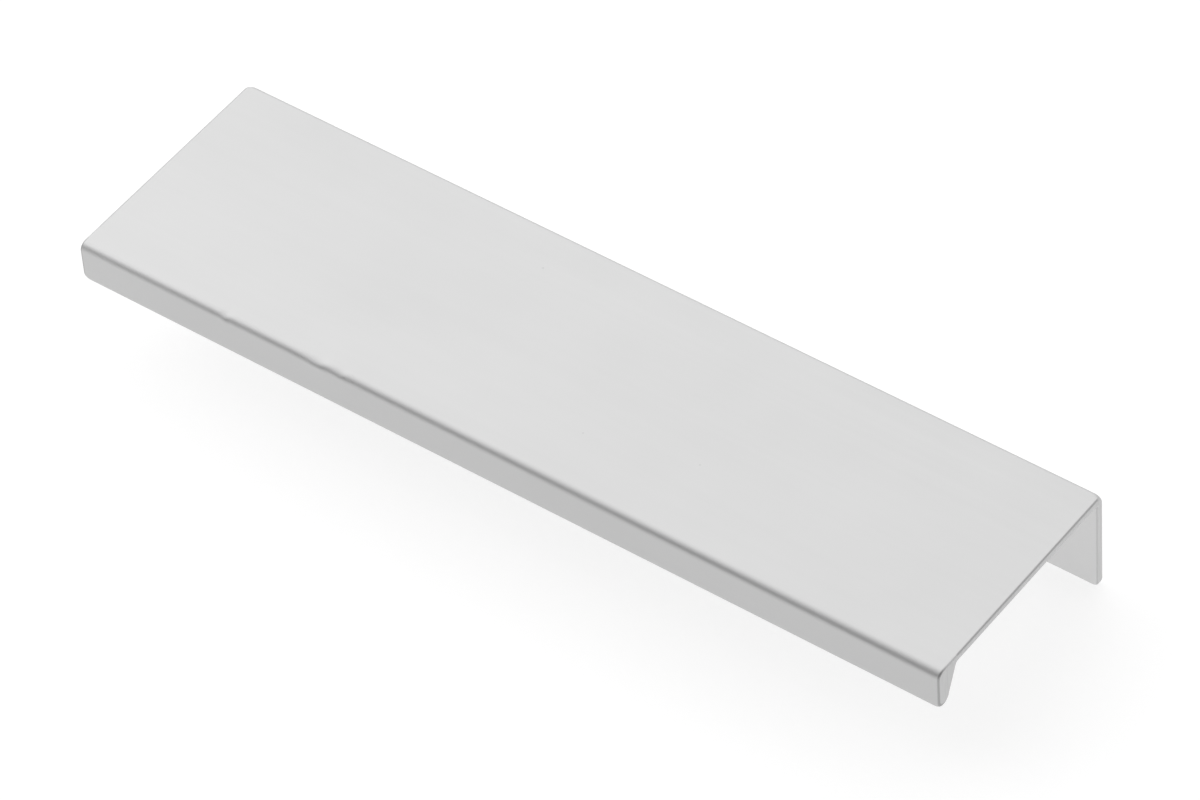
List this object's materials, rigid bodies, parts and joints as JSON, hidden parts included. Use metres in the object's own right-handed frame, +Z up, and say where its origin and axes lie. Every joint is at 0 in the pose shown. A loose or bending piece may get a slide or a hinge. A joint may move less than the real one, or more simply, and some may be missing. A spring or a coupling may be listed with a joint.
{
  "type": "aluminium edge handle",
  "caption": "Edge pull cut from an extruded aluminium profile: a flat top plate, a wedge-shaped front lip as finger grip, and a back flange drilled for screws.",
  "frame": {"origin": "midway between the two screw holes, on the flange's inner face, which lies against the panel's back", "axes": "+X along the panel's edge, +Y from the lip to the flange, out of the panel's back, +Z up, out of the plate's top"},
  "size_m": [0.15, 0.04, 0.018],
  "materials": {
    "handle": "satin anodised, natural"
  },
  "bodies": {
    "root": {"handle": "handle"}
  },
  "joints": []
}
